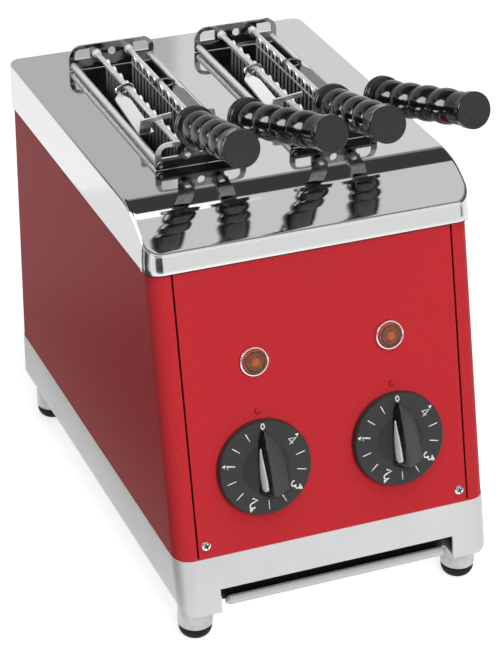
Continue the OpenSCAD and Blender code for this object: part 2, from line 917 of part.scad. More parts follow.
module knob(s) {
  k = knob_d / 2;
  color("dimgray")
    on_panel(s * knob_pitch / 2, knob_z)
      translate([0, 0, knob_gap])
        difference() {
          union() {
            cylinder(r1 = k, r2 = k - knob_draft, h = knob_t);
            translate([0, 0, knob_t / 2]) cylinder(d = hub_d, h = knob_t / 2 + hub_h);
            intersection() {
              translate([0, 0, knob_t / 2]) linear_extrude(ridge_h + knob_t) ridge_plan();
              on_flank() translate([-big / 2, -big / 2, -big]) cube([big, big, big]);
              translate([ridge_tilt_x, 0, knob_t + ridge_h])
                rotate([0, ridge_fall, 0]) translate([-big / 2, -big / 2, -big]) cube([big, big, big]);
            }
          }
          translate([0, 0, -over]) cylinder(d = shaft_d, h = knob_t);
        }
}

module knob_left() { knob(-1); }

module knob_right() { knob(1); }

// silver teardrop laid on the left flank of the ridge
module knob_mark(s) {
  l = norm(ridge_foot - ridge_apex);
  tip = [0.28 * l, hub_h + 3.4];
  heel = [0.9 * l, hub_h + 1.4];
  crown = [0.94 * l, 0.86 * ridge_h];
  back = [0.3 * l, hub_h + 4.8];
  color("whitesmoke")
    on_panel(s * knob_pitch / 2, knob_z)
      translate([0, 0, knob_gap])
        on_flank() linear_extrude(mark_t) polygon([tip, heel, crown, back]);
}

module knob_mark_left() { knob_mark(-1); }

module knob_mark_right() { knob_mark(1); }

module shaft(s) {
  color("silver")
    on_panel(s * knob_pitch / 2, knob_z)
      translate([0, 0, -sheet_t - inner_t - shaft_in])
        cylinder(d = shaft_d, h = sheet_t + inner_t + shaft_in + knob_gap + knob_t - over);
}

module shaft_left() { shaft(-1); }

module shaft_right() { shaft(1); }

// upright outline of a tong end plate, rod holes and windows cut
module end_plate_view() {
  hw = plate_w / 2;
  win0 = hw - window_side - window_w;
  win1 = hw - window_side;
  win_top = window_z0 + window_h;
  difference() {
    rounded([[-hw, plate_z0], [hw, plate_z0], [hw, plate_z1], [-hw, plate_z1]],
            [min_r, min_r, plate_r, plate_r]);
    for (m = mirror_pair) {
      scale([m, 1])
        rounded([[win0, window_z0], [win1, window_z0], [win1, win_top], [win0, win_top]],
                [min_r, min_r, window_r, min_r]);
      translate([m * rod_x, rod_z]) circle(d = rod_d + 2 * rod_gap);
      translate([m * tube_x, tube_z]) circle(d = tube_d - eps);
    }
    translate([0, rod_z]) circle(d = eye_d);
  }
}

module tong_frame(s) {
  color("silver")
    translate([s * slot_x, 0, 0]) {
      along_y(plate_yr, plate_yr + plate_t) end_plate_view();
      along_y(plate_yf - plate_t, plate_yf) end_plate_view();
      for (m = mirror_pair)
        difference() {
          rod_y(m * tube_x, plate_yf - plate_t - tube_out, plate_yr + plate_t + tube_out, tube_z, tube_d);
          rod_y(m * tube_x, -big, big, tube_z, tube_bore);
        }
    }
}

module tong_frame_left() { tong_frame(-1); }

module tong_frame_right() { tong_frame(1); }

// rod with its hanging wire grid; s picks the tong, m the side of it
module grid(s, m) {
  wire_x = m * (rod_x - wire_in);
  span = hair_pitch * hairpin_n;
  hair_r = hair_pitch / 4;
  leg = grid_h + hair_rise - hair_r;
  color("silver")
    translate([s * slot_x, 0, 0]) {
      rod_y(m * rod_x, plate_yf - plate_t - rod_out, plate_yr + plate_t + tube_out, rod_z, rod_d);
      for (y = [plate_yr - 2 * seat_gap - shoulder_l, plate_yf + 2 * seat_gap])
        rod_y(m * rod_x, y, y + shoulder_l, rod_z, shoulder_d);
      for (i = [0 : hairpin_n - 1])
        translate([wire_x, slot_yc + (i - (hairpin_n - 1) / 2) * hair_pitch, rod_z - grid_h]) {
          for (e = mirror_pair) translate([0, e * hair_r, 0]) cylinder(d = wire_d, h = leg);
          translate([0, 0, leg])
            rotate([90, 0, 90])
              rotate_extrude(angle = 180) translate([hair_r, 0]) circle(d = wire_d);
        }
      for (k = bar_levels)
        rod_y(wire_x, slot_yc - span / 2, slot_yc + span / 2, rod_z - grid_h * k, wire_d);
    }
}

module grid_ll() { grid(-1, -1); }

module grid_lr() { grid(-1, 1); }

module grid_rl() { grid(1, -1); }

module grid_rr() { grid(1, 1); }

// flat plate beside the rod, its clip at the back and the strip on edge at the front
module lever(s, m) {
  inner = lever_out - lever_w / 2;
  outer = lever_out + lever_w / 2;
  clip_d = rod_d + 2 * clip_wall;
  color("gainsboro")
    translate([s * slot_x, 0, 0])
      scale([m, 1, 1])
        translate([rod_x, 0, rod_z])
          difference() {
            union() {
              translate([inner, strip_y - lever_t / 2, lever_z - rod_z - lever_t / 2])
                cube([lever_w, lever_y1 - strip_y + clip_l / 2, lever_t]);
              translate([0, lever_y1 - clip_l / 2, lever_z - rod_z - lever_t / 2])
                cube([inner + over, clip_l, lever_t]);
              rod_y(0, lever_y1 - clip_l / 2, lever_y1 + clip_l / 2, 0, clip_d);
              translate([outer - lever_t, strip_y - lever_t / 2, lever_z - rod_z])
                cube([lever_t, clip_d, rod_d / 2 + strip_up + strip_h - lever_z + rod_z]);
              translate([-strip_in, strip_y - lever_t / 2, rod_d / 2 + strip_up])
                cube([strip_in + outer, lever_t, strip_h]);
            }
            rod_y(0, plate_yf, plate_yr, 0, rod_d);
          }
}

module lever_ll() { lever(-1, -1); }

module lever_lr() { lever(-1, 1); }

module lever_rl() { lever(1, -1); }

module lever_rr() { lever(1, 1); }

// children placed on a grip, z along it from the collar to the end
module on_grip(s, m) {
  translate([s * slot_x + m * grip_x, grip_y, grip_z])
    rotate([90 - grip_rise, 0, m * grip_splay]) children();
}

// flat neck from its ring on the rod up to the grip
module neck(s, m) {
  axis = [m * sin(grip_splay) * cos(grip_rise), -cos(grip_splay) * cos(grip_rise), sin(grip_rise)];
  foot = [m * rod_x, ring_y, rod_z];
  run = [m * grip_x, grip_y, grip_z] - axis * neck_w / 2 - foot;
  l = norm(run);
  color("silver")
    difference() {
      union() {
        translate([s * slot_x, 0, 0]) {
          rod_y(m * rod_x, ring_y - ring_l / 2, ring_y + ring_l / 2, rod_z, rod_d + 2 * ring_wall);
          translate(foot)
            rotate([90 - asin(run.z / l), 0, atan2(run.x, -run.y)])
              translate([-neck_w / 2, -neck_t / 2, 0]) cube([neck_w, neck_t, l + neck_t / 2]);
        }
        on_grip(s, m)
          translate([-neck_w / 2, -neck_t / 2, -neck_w / 2 - neck_t / 2])
            cube([neck_w, neck_t, neck_w / 2 + neck_t / 2]);
      }
      translate([s * slot_x, 0, 0]) rod_y(m * rod_x, -body_d, body_d, rod_z, rod_d);
    }
}

module neck_ll() { neck(-1, -1); }

module neck_lr() { neck(-1, 1); }

module neck_rl() { neck(1, -1); }

module neck_rr() { neck(1, 1); }

module grip(s, m) {
  body_l = grip_l - cap_t;
  color("black")
    on_grip(s, m)
      rotate_extrude() {
        rounded([[0, 0], [collar_d / 2, 0], [collar_d / 2, collar_t], [0, collar_t]],
                [0, edge_r, edge_r, 0]);
        intersection() {
          translate([0, collar_t / 2]) square([grip_d, body_l - collar_t / 2]);
          for (i = [0 : bulge_n - 1])
            translate([grip_d / 2 - bulge_r, collar_t + (i + 0.5) * bulge_pitch]) circle(r = bulge_r);
        }
      }
}

module grip_ll() { grip(-1, -1); }

module grip_lr() { grip(-1, 1); }

module grip_rl() { grip(1, -1); }

module grip_rr() { grip(1, 1); }

module cap(s, m) {
  color("dimgray")
    on_grip(s, m)
      rotate_extrude()
        rounded([[0, grip_l - cap_t], [cap_d / 2, grip_l - cap_t], [cap_d / 2, grip_l], [0, grip_l]],
                [0, edge_r, edge_r, 0]);
}

module cap_ll() { cap(-1, -1); }

module cap_lr() { cap(-1, 1); }

module cap_rl() { cap(1, -1); }

module cap_rr() { cap(1, 1); }

base_frame();
feet();
foot_pads();
shell_left();
shell_right();
front_panel();
rear_panel();
inner_plate();
panel_screws();
top_cover();
slot_trim_left();
slot_trim_right();
chamber_left();
chamber_right();
heater_left();
heater_right();
ribbons_left();
ribbons_right();
guard_left();
guard_right();
cross_rails();
timer_left();
timer_right();
lamp_bezels();
lamp_lenses();
lamp_bodies();
tray_guides();
cable_gland();
terminal_block();
crumb_tray();
knob_left();
knob_right();
knob_mark_left();
knob_mark_right();
shaft_left();
shaft_right();
tong_frame_left();
tong_frame_right();
grid_ll();
grid_lr();
grid_rl();
grid_rr();
lever_ll();
lever_lr();
lever_rl();
lever_rr();
neck_ll();
neck_lr();
neck_rl();
neck_rr();
grip_ll();
grip_lr();
grip_rl();
grip_rr();
cap_ll();
cap_lr();
cap_rl();
cap_rr();
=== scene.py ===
import json
import math

import bmesh
import bpy
from mathutils import Matrix, Vector


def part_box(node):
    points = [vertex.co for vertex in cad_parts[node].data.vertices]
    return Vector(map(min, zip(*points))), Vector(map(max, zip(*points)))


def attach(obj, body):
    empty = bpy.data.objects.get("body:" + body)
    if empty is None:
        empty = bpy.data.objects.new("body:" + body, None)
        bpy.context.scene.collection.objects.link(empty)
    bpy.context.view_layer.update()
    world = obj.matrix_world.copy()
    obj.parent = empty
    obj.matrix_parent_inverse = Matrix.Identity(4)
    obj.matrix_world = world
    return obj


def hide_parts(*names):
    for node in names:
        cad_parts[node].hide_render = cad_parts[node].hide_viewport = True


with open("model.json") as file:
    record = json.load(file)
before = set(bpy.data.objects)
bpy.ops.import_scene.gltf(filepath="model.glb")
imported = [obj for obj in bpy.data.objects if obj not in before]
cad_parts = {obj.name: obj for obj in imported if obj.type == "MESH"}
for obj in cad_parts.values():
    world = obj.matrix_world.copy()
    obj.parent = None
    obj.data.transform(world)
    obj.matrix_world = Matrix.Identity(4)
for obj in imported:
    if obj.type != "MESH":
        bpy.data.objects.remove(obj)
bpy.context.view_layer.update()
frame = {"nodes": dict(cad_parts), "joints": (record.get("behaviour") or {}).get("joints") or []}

# View: a long lens on a tripod, about 1.6 m away, to the left of the front and
# looking down on the toaster.
lens_mm, sensor_mm, sight_m = 132.19, 36.0, 30.0
view_right = Vector((0.926338, -0.376645, 0.006030))
view_up = Vector((0.178618, 0.453281, 0.873288))
view_back = Vector((-0.331653, -0.807883, 0.487167))
view_from = Vector((-0.50523, -1.24044, 0.86328))
lens = bpy.data.cameras.new("view")
lens.lens = lens_mm
lens.sensor_width = sensor_mm
lens.clip_end = sight_m
view = bpy.data.objects.new("view", lens)
bpy.context.scene.collection.objects.link(view)
turn = Matrix((view_right, view_up, view_back)).transposed().to_4x4()
view.matrix_world = Matrix.Translation(view_from) @ turn
bpy.context.scene.camera = view


# Studio: a plain pale paper floor, soft boxes in front and above, and pale and
# dark cards all round that light nothing and show only as reflections.
def new_finish(name):
    mat = bpy.data.materials.new(name)
    mat.use_nodes = True
    tree = mat.node_tree
    return mat, tree, tree.nodes["Principled BSDF"]


def new_piece(name, verts, faces, mat, smooth=True):
    mesh = bpy.data.meshes.new(name)
    mesh.from_pydata([tuple(v) for v in verts], [], faces)
    mesh.validate()
    work = bmesh.new()
    work.from_mesh(mesh)
    bmesh.ops.remove_doubles(work, verts=work.verts, dist=1e-7)
    bmesh.ops.recalc_face_normals(work, faces=work.faces)
    work.to_mesh(mesh)
    work.free()
    if smooth:
        mesh.shade_smooth()
    mesh.materials.append(mat)
    piece = bpy.data.objects.new(name, mesh)
    bpy.context.scene.collection.objects.link(piece)
    return piece


def aimed(place, target):
    return (Vector(place) - Vector(target)).to_track_quat("Z", "Y").to_matrix().to_4x4()


def grey(tone):
    return (tone, tone, tone)


def paper(name, tone, rough, spec, glow):
    mat, tree, shader = new_finish(name)
    shader.inputs["Base Color"].default_value = (*grey(tone), 1)
    shader.inputs["Roughness"].default_value = rough
    shader.inputs["Specular IOR Level"].default_value = spec
    shader.inputs["Emission Color"].default_value = (*grey(1), 1)
    shader.inputs["Emission Strength"].default_value = glow
    return mat


def flat_sheet(name, width, height, mat):
    w, h = width / 2, height / 2
    return new_piece(name, [(-w, -h, 0), (w, -h, 0), (w, h, 0), (-w, h, 0)], [(0, 1, 2, 3)], mat, False)


def soft_box(name, place, target, width, height, watts):
    data = bpy.data.lights.new(name, "AREA")
    data.shape = "RECTANGLE"
    data.size = width
    data.size_y = height
    data.energy = watts
    box = bpy.data.objects.new(name, data)
    box.matrix_world = Matrix.Translation(place) @ aimed(place, target)
    box.visible_glossy = False
    bpy.context.scene.collection.objects.link(box)


def card(name, place, target, width, height, glow):
    board = flat_sheet(name, width, height, paper(name, 0, 1.0, 0.0, glow))
    board.matrix_world = Matrix.Translation(place) @ aimed(place, target)
    board.visible_camera = False
    board.visible_diffuse = False
    board.visible_shadow = False


middle = Vector((0, 0, 0.13))
floor_size = 16.0
floor = flat_sheet("floor", floor_size, floor_size, paper("floor_paper", 0.55, 0.85, 0.1, 0.72))
floor.visible_diffuse = False
world = bpy.data.worlds.new("studio")
bpy.context.scene.world = world
world.use_nodes = True
world.node_tree.nodes["Background"].inputs["Color"].default_value = (0.97, 0.98, 1.0, 1)
world.node_tree.nodes["Background"].inputs["Strength"].default_value = 0.25
soft_box("front_box", (-0.1, -1.95, 1.35), middle, 1.3, 1.0, 33)
soft_box("top_box", (0.2, -0.35, 2.0), middle, 1.8, 1.2, 20)
card("rear_wall", (0.7, 1.65, 0.66), (0.7, 0, 0.66), 4.6, 1.32, 0.72)
card("rear_shade", (-0.73, 1.60, 0.66), (-0.73, 0, 0.66), 2.56, 1.32, 0.50)
card("front_wall", (0.4, -2.8, 0.8), (0.4, 0, 0.8), 6.0, 1.6, 0.97)
card("front_dark", (-0.475, -2.7, 0.4), (-0.475, 0, 0.4), 1.85, 0.8, 0.03)
card("right_wall", (1.7, -0.3, 0.6), (0, -0.3, 0.6), 3.0, 1.2, 0.12)
card("dark_flag", (0.1, 0.894, 1.407), (0, -0.06, 0.25), 4.2, 0.78, 0.045)
card("ceiling", (0, -0.55, 2.3), (0, -0.55, 0), 4.0, 2.9, 0.64)
card("light_strip", (-0.25, 0.62, 2.2), (-0.25, 0.62, 0), 1.9, 0.40, 1.25)
card("window", (-1.3, 0.50, 0.90), (0, 0.50, 0.90), 1.1, 1.02, 9.5)
card("corner_dark", (-1.1, 1.5, 0.62), (-0.1, 0, 0.62), 0.5, 0.34, 0.03)
card("floor_shade", (-0.435, 0.05, 0.003), (-0.435, 0.05, -1), 0.57, 0.5, 0.15)
card("floor_mid", (-0.28, 0.35, 0.0035), (-0.28, 0.35, -1), 0.2, 0.2, 0.96)
card("floor_dark", (-0.985, -0.36, 0.004), (-0.985, -0.36, -1), 0.65, 0.88, 0.04)
bpy.context.scene.view_settings.view_transform = "Standard"


# Base band: one deep-drawn aluminium pan with a satin finish, its lower edges
# rolled in, and a notch at the front for the crumb tray.
def grain(tree, scale, stretch=(1, 1, 1), detail=4.0):
    where = tree.nodes.new("ShaderNodeTexCoord")
    size = tree.nodes.new("ShaderNodeMapping")
    size.inputs["Scale"].default_value = stretch
    noise = tree.nodes.new("ShaderNodeTexNoise")
    noise.inputs["Scale"].default_value = scale
    noise.inputs["Detail"].default_value = detail
    tree.links.new(where.outputs["Object"], size.inputs["Vector"])
    tree.links.new(size.outputs["Vector"], noise.inputs["Vector"])
    return noise.outputs["Fac"]


def spread(tree, fac, socket, low, high, start=0.3, end=0.7):
    span = tree.nodes.new("ShaderNodeMapRange")
    span.inputs["From Min"].default_value = start
    span.inputs["From Max"].default_value = end
    span.inputs["To Min"].default_value = low
    span.inputs["To Max"].default_value = high
    tree.links.new(fac, span.inputs["Value"])
    tree.links.new(span.outputs["Result"], socket)


def shade(tree, fac, socket, dark, light, start=0.3, end=0.7):
    ramp = tree.nodes.new("ShaderNodeValToRGB")
    ramp.color_ramp.elements[0].position = start
    ramp.color_ramp.elements[1].position = end
    ramp.color_ramp.elements[0].color = (*dark, 1)
    ramp.color_ramp.elements[1].color = (*light, 1)
    tree.links.new(fac, ramp.inputs["Fac"])
    tree.links.new(ramp.outputs["Color"], socket)


def relief(tree, fac, shader, strength, height=0.0002):
    bump = tree.nodes.new("ShaderNodeBump")
    bump.inputs["Strength"].default_value = strength
    bump.inputs["Distance"].default_value = height
    tree.links.new(fac, bump.inputs["Height"])
    tree.links.new(bump.outputs["Normal"], shader.inputs["Normal"])


def grained(name, scale, dark, light, rough, metal=0.0, spec=0.5, bump=0.0, stretch=(1, 1, 1), blotch=None):
    # one fine noise for gloss and relief; the tone follows it too, or wider blotches
    mat, tree, shader = new_finish(name)
    shader.inputs["Metallic"].default_value = metal
    shader.inputs["Specular IOR Level"].default_value = spec
    fine = grain(tree, scale, stretch)
    shade(tree, grain(tree, blotch) if blotch else fine, shader.inputs["Base Color"], dark, light)
    spread(tree, fine, shader.inputs["Roughness"], *rough)
    if bump:
        relief(tree, fine, shader, bump)
    return mat


def dress(mat, *names):
    for name in names:
        nodes[name].data.materials.clear()
        nodes[name].data.materials.append(mat)


nodes = frame["nodes"]
satin = grained("satin_aluminium", 900, (0.60, 0.60, 0.605), (0.66, 0.66, 0.665), (0.36, 0.48),
                metal=0.55, bump=0.12, blotch=26)
dress(satin, "base_frame")


# Feet: turned and lightly blasted metal legs, screwed up into the base, each
# with a black rubber end pushed over its foot.
def lathe(profile, steps):
    verts, faces, rings = [], [], []
    for r, z in profile:
        if r < 1e-9:
            rings.append([len(verts)] * steps)
            verts.append(Vector((0, 0, z)))
            continue
        rings.append(list(range(len(verts), len(verts) + steps)))
        for k in range(steps):
            a = 2 * math.pi * k / steps
            verts.append(Vector((r * math.cos(a), r * math.sin(a), z)))
    for low, high in zip(rings, rings[1:]):
        for k in range(steps):
            n = (k + 1) % steps
            loop = []
            for v in (low[k], low[n], high[n], high[k]):
                if v not in loop:
                    loop.append(v)
            if len(loop) > 2:
                faces.append(tuple(loop))
    return verts, faces


def arc(cx, cz, r, start, end, count):
    out = []
    for k in range(count + 1):
        a = math.radians(start + (end - start) * k / count)
        out.append((cx + r * math.cos(a), cz + r * math.sin(a)))
    return out


def moved(part, place):
    verts, faces = part
    return [place @ v for v in verts], faces


def joined(*parts):
    verts, faces = [], []
    for v, f in parts:
        base = len(verts)
        verts += v
        faces += [tuple(i + base for i in loop) for loop in f]
    return verts, faces


def copies(part, places):
    return joined(*[moved(part, place) for place in places])


foot_r, foot_top, leg_low_edge, leg_top_edge, leg_top_drop = 0.0105, 0.023, 0.0006, 0.0005, 0.001
pad_r, pad_h, pad_flat_r, pad_ball_r, pad_wall_top, pad_edge = 0.0101, 0.0085, 0.0034, 0.0067, 0.0081, 0.0003
foot_sides = 48
foot_low, foot_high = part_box("feet")
foot_at = [Matrix.Translation((x, y, 0)) for x in (foot_low[0] + foot_r, foot_high[0] - foot_r)
           for y in (foot_low[1] + foot_r, foot_high[1] - foot_r)]
leg = lathe([(0, pad_h), (foot_r - leg_low_edge, pad_h), (foot_r, pad_h + leg_low_edge),
             (foot_r, foot_top - leg_top_drop), (foot_r - leg_top_edge, foot_top), (0, foot_top)], foot_sides)
pad = lathe([(0, 0), (pad_flat_r, 0)] + arc(pad_flat_r, pad_ball_r, pad_ball_r, -90, 0, 12) +
            [(pad_r, pad_wall_top), (pad_r - pad_edge, pad_h), (0, pad_h)], foot_sides)
cast, tree, shader = new_finish("blasted_metal")
shader.inputs["Metallic"].default_value = 0.75
rough_skin = grain(tree, 700)
shade(tree, grain(tree, 160), shader.inputs["Base Color"], grey(0.46), grey(0.62))
spread(tree, rough_skin, shader.inputs["Roughness"], 0.42, 0.58)
relief(tree, rough_skin, shader, 0.25, 0.0003)
rubber = grained("black_rubber", 420, grey(0.004), grey(0.012), (0.55, 0.75), spec=0.2, bump=0.2)
legs = new_piece("foot_legs", *copies(leg, foot_at), cast)
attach(legs, "body")
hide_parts("feet")
ends = new_piece("foot_ends", *copies(pad, foot_at), rubber)
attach(ends, "body")
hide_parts("foot_pads")
for piece in (legs, ends):
    piece.modifiers.new("flats", "WEIGHTED_NORMAL")

# Painted body: two bent side shells, a front panel and a rear panel of sheet
# steel, sprayed metallic red and baked, with an open seam beside each panel.
red_deep, red_light = (0.50, 0.023, 0.031), (0.58, 0.030, 0.038)
red, tree, shader = new_finish("red_bake")
flake = grain(tree, 1100, detail=3.0)
peel = grain(tree, 320, detail=2.0)
shade(tree, flake, shader.inputs["Base Color"], red_deep, red_light, 0.35, 0.65)
spread(tree, flake, shader.inputs["Roughness"], 0.40, 0.50)
relief(tree, peel, shader, 0.05)
shader.inputs["Specular IOR Level"].default_value = 0.06
shader.inputs["Coat Weight"].default_value = 0.01
shader.inputs["Coat Roughness"].default_value = 0.32
dress(red, "shell_left", "shell_right", "front_panel", "rear_panel")

# Index marks: a small open ring is pressed out of the sheet of the front panel
# above each knob and painted with it; only its shaded flank stands out, so the
# ring is coloured a darker red, as painted shade.
lean = math.radians(13.5)


def on_panel(x, up, knob):
    z = knob[2] + up * math.cos(lean)
    y = knob[1] + up * math.sin(lean)
    return Matrix.Translation((x, y, z)) @ Matrix.Rotation(math.pi / 2 - lean, 4, "X")


def skin(count, sides):
    # quads between count + 1 rings of points, with a face over each end
    faces = []
    for i in range(count):
        for k in range(sides):
            n = (k + 1) % sides
            faces.append((i * sides + k, i * sides + n, (i + 1) * sides + n, (i + 1) * sides + k))
    return faces + [tuple(range(sides)), tuple(range(count * sides, (count + 1) * sides))]


def tube(path, radius, sides=8):
    verts = []
    last = len(path) - 1
    side = (path[1] - path[0]).normalized().orthogonal().normalized()
    for i, p in enumerate(path):
        now = (path[min(i + 1, last)] - path[max(i - 1, 0)]).normalized()
        side = (side - now * side.dot(now)).normalized()
        over = now.cross(side)
        for k in range(sides):
            t = 2 * math.pi * k / sides
            verts.append(p + (side * math.cos(t) + over * math.sin(t)) * radius)
    return verts, skin(last, sides)


hinges = {j["name"]: j for j in frame["joints"]}
knob_at = {s: Vector(hinges["knob_turn_" + s]["pos_m"]) for s in "lr"}
index_up, index_r, index_wire, index_from, index_to = 0.0336, 0.0017, 0.00045, 100, 350
open_ring = tube([Vector((x, y, 0)) for x, y in arc(0, 0, index_r, index_from, index_to, 18)], index_wire)
index_at = [on_panel(knob_at[s].x, index_up, knob_at[s]) for s in "lr"]
# darker red than the panel: painted shade of the ring's flank
index_shade_red, tree, shader = new_finish("red_in_shadow")
shade(tree, grain(tree, 900), shader.inputs["Base Color"], (0.20, 0.010, 0.014), (0.29, 0.015, 0.020))
shader.inputs["Specular IOR Level"].default_value = 0.1
index = new_piece("index_marks", *copies(open_ring, index_at), index_shade_red)
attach(index, "body")

# Inside works: chambers, ribbons, rails, guides, shafts and the plate behind the
# front are metal, the heater boards mica, and timers, lamp bodies, gland and
# terminal block moulded; cross rails carry the chambers between the shells.
# near-black chamber sheet: soot, darkened further as painted shade in the deep slots
soot_and_slot_shade = grained("oven_sheet", 90, grey(0.010), (0.026, 0.025, 0.024), (0.5, 0.7), metal=0.4)
dress(soot_and_slot_shade, "chamber_left", "chamber_right")
zinc = grained("zinc_sheet", 140, (0.38, 0.39, 0.40), (0.55, 0.56, 0.57), (0.35, 0.5), metal=0.85)
dress(zinc, "inner_plate", "cross_rails", "tray_guides", "shaft_left", "shaft_right")
mica = grained("mica_board", 60, (0.16, 0.12, 0.07), (0.30, 0.24, 0.15), (0.45, 0.65), stretch=(1, 1, 3))
dress(mica, "heater_left", "heater_right")
ribbon = grained("heating_ribbon", 120, (0.14, 0.11, 0.09), (0.30, 0.25, 0.21), (0.4, 0.55),
                 metal=0.9, stretch=(1, 4, 1))
dress(ribbon, "ribbons_left", "ribbons_right")
cream = grained("cream_moulding", 500, (0.55, 0.50, 0.39), (0.64, 0.59, 0.47), (0.45, 0.6))
dress(cream, "timer_left", "timer_right", "lamp_bodies", "terminal_block")
black = grained("black_moulding", 900, grey(0.010), grey(0.022), (0.42, 0.6), bump=0.15)
dress(black, "cable_gland")

# Cover: one pressed sheet of polished steel with side skirts, a bend down to a
# slope, and an upright lip along the front; two slots are punched in its top.
cover_hw, cover_t = 0.1016, 0.0012
top_z, skirt_z = 0.256, 0.225
back_y, lip_y, lip_z = 0.1556, -0.104149, 0.2375
slope, bend_r = math.radians(40), 0.052
rear_corner, front_corner = 0.0076, 0.0100
rear_edge, side_edge, front_edge = 0.0032, 0.0028, 0.0015
rear_steps, side_steps, front_steps, edge_steps = 12, 33, 24, 8
hem_turn = ((0.0008, 0), (0.0005, 0.0001), (0.0002, 0.0004), (0, 0.0009), (0, 0.004), (0, 0.008))
hem_rows = 3
slot_half, slot_corner, slot_mid_x = (0.0245, 0.074), 0.003, (-0.0424, 0.0424)
slot_mid_y = hinges["jaw_ll_swing"]["pos_m"][1]
flat_y = lip_y + (top_z - lip_z) / math.tan(slope) + bend_r * math.tan(slope / 2)
bend_y = flat_y - bend_r * math.sin(slope)


def cover_height(y):
    if y >= flat_y:
        return top_z
    if y >= bend_y:
        return top_z - bend_r + math.sqrt(bend_r ** 2 - (flat_y - y) ** 2)
    return lip_z + (y - lip_y) * math.tan(slope)


outline = []


def corner(r, mid_y, start, steps, edge_from, edge_to):
    for k in range(steps + 1):
        a = math.radians(start + 90 * k / steps)
        out = Vector((math.cos(a), math.sin(a), 0))
        at = Vector((r - cover_hw, mid_y, 0)) + out * r
        outline.append((at, out, edge_from + (edge_to - edge_from) * k / steps))


corner(rear_corner, back_y - rear_corner, 90, rear_steps, rear_edge, side_edge)
flat_from = len(outline)
for k in range(side_steps):
    y = flat_y + (lip_y + front_corner - flat_y) * k / side_steps
    outline.append((Vector((-cover_hw, y, 0)), Vector((-1, 0, 0)), side_edge))
corner(front_corner, lip_y + front_corner, 180, front_steps, side_edge, front_edge)

press = bmesh.new()


# the lowest hem rows take the second material, a dark line of painted shade
def wall(low, high):
    for k in range(len(low) - 1):
        press.faces.new((low[k], high[k], high[k + 1], low[k + 1])).material_index = int(k < hem_rows)


rows = {}
for side in (-1, 1):
    rows[side] = []
    for at, out, r in outline:
        low = cover_height(at.y) - r
        spots = []
        for tuck, up in hem_turn:
            z = skirt_z + up
            spots.append(at + out * ((low - z) * math.tan(lean) * max(0, -out.y) - tuck) + Vector((0, 0, z)))
        for k in range(edge_steps + 1):
            a = math.pi / 2 * k / edge_steps
            p = at - out * r * (1 - math.cos(a))
            spots.append(Vector((p.x, p.y, cover_height(p.y) - r * (1 - math.sin(a)))))
        rows[side].append([press.verts.new((-side * p.x, p.y, p.z)) for p in spots])
    for low, high in zip(rows[side], rows[side][1:]):
        wall(low, high)
left, right = rows[-1], rows[1]
for end in (0, -1):
    wall(left[end], right[end])
for i in range(flat_from, len(outline) - 1):
    press.faces.new((left[i][-1], right[i][-1], right[i + 1][-1], left[i + 1][-1]))
rim = [row[-1] for row in left[:flat_from + 1]] + [row[-1] for row in right[flat_from::-1]]
loops = [press.edges.get((a, b)) or press.edges.new((a, b)) for a, b in zip(rim, rim[1:] + rim[:1])]
for mid in slot_mid_x:
    hole = []
    for sx, sy, start in ((1, 1, 0), (-1, 1, 90), (-1, -1, 180), (1, -1, 270)):
        cx = mid + sx * (slot_half[0] - slot_corner)
        cy = slot_mid_y + sy * (slot_half[1] - slot_corner)
        for x, y in arc(cx, cy, slot_corner, start, start + 90, 6):
            hole.append(press.verts.new((x, y, top_z)))
    for a, b in zip(hole, hole[1:] + hole[:1]):
        loops.append(press.edges.new((a, b)))
        loops[-1].smooth = False
bmesh.ops.triangle_fill(press, use_beauty=True, use_dissolve=False, edges=loops)
bmesh.ops.recalc_face_normals(press, faces=press.faces)
press.faces.ensure_lookup_table()
if max(press.faces, key=lambda f: f.calc_center_median().z).normal.z < 0:
    bmesh.ops.reverse_faces(press, faces=press.faces)
sheet = bpy.data.meshes.new("cover_sheet")
press.to_mesh(sheet)
press.free()
sheet.shade_smooth()


def split(tree, vector):
    parts = tree.nodes.new("ShaderNodeSeparateXYZ")
    tree.links.new(vector, parts.inputs["Vector"])
    return parts.outputs


def facing(tree):
    return split(tree, tree.nodes.new("ShaderNodeNewGeometry").outputs["Normal"])


polished, tree, shader = new_finish("polished_steel")
shader.inputs["Metallic"].default_value = 1.0
brush = grain(tree, 60, (50, 1, 1), 3.0)
up_gloss_and_painted_light = facing(tree)["Z"]
spread(tree, up_gloss_and_painted_light, shader.inputs["Roughness"], 0.11, 0.055, 0.35, 0.6)
# the upright skirts and lip are coloured darker than the flat top: painted shade by facing
shade(tree, up_gloss_and_painted_light, shader.inputs["Base Color"], (0.69, 0.69, 0.695), (0.84, 0.84, 0.845), 0.3, 0.6)
relief(tree, brush, shader, 0.02)
# near-black hem: painted shade of the gap under the skirts and lip
hem_painted_shade, tree, shader = new_finish("hem_shade_line")
shader.inputs["Metallic"].default_value = 0.6
shade(tree, grain(tree, 300), shader.inputs["Base Color"], grey(0.020), grey(0.045))
shader.inputs["Roughness"].default_value = 0.6
sheet.materials.append(polished)
sheet.materials.append(hem_painted_shade)
cover = bpy.data.objects.new("cover_sheet", sheet)
bpy.context.scene.collection.objects.link(cover)
thick = cover.modifiers.new("sheet", "SOLIDIFY")
thick.thickness = cover_t
thick.offset = -1.0
cover.modifiers.new("flats", "WEIGHTED_NORMAL").keep_sharp = True
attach(cover, "body")
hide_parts("top_cover")

# Slot trims and guards: drawn steel frames pushed into the slots, a thin flange
# on top and a sleeve that covers the cut edge; bent guard wires stand in the
# chambers below. The heat has browned them all, and their near-black colour is
# darker still, painted shade in the slots.
browned_and_slot_shade = grained("browned_steel", 150, (0.020, 0.019, 0.018), (0.055, 0.052, 0.050), (0.35, 0.5), metal=0.8)
dress(browned_and_slot_shade, "slot_trim_left", "slot_trim_right", "guard_left", "guard_right")

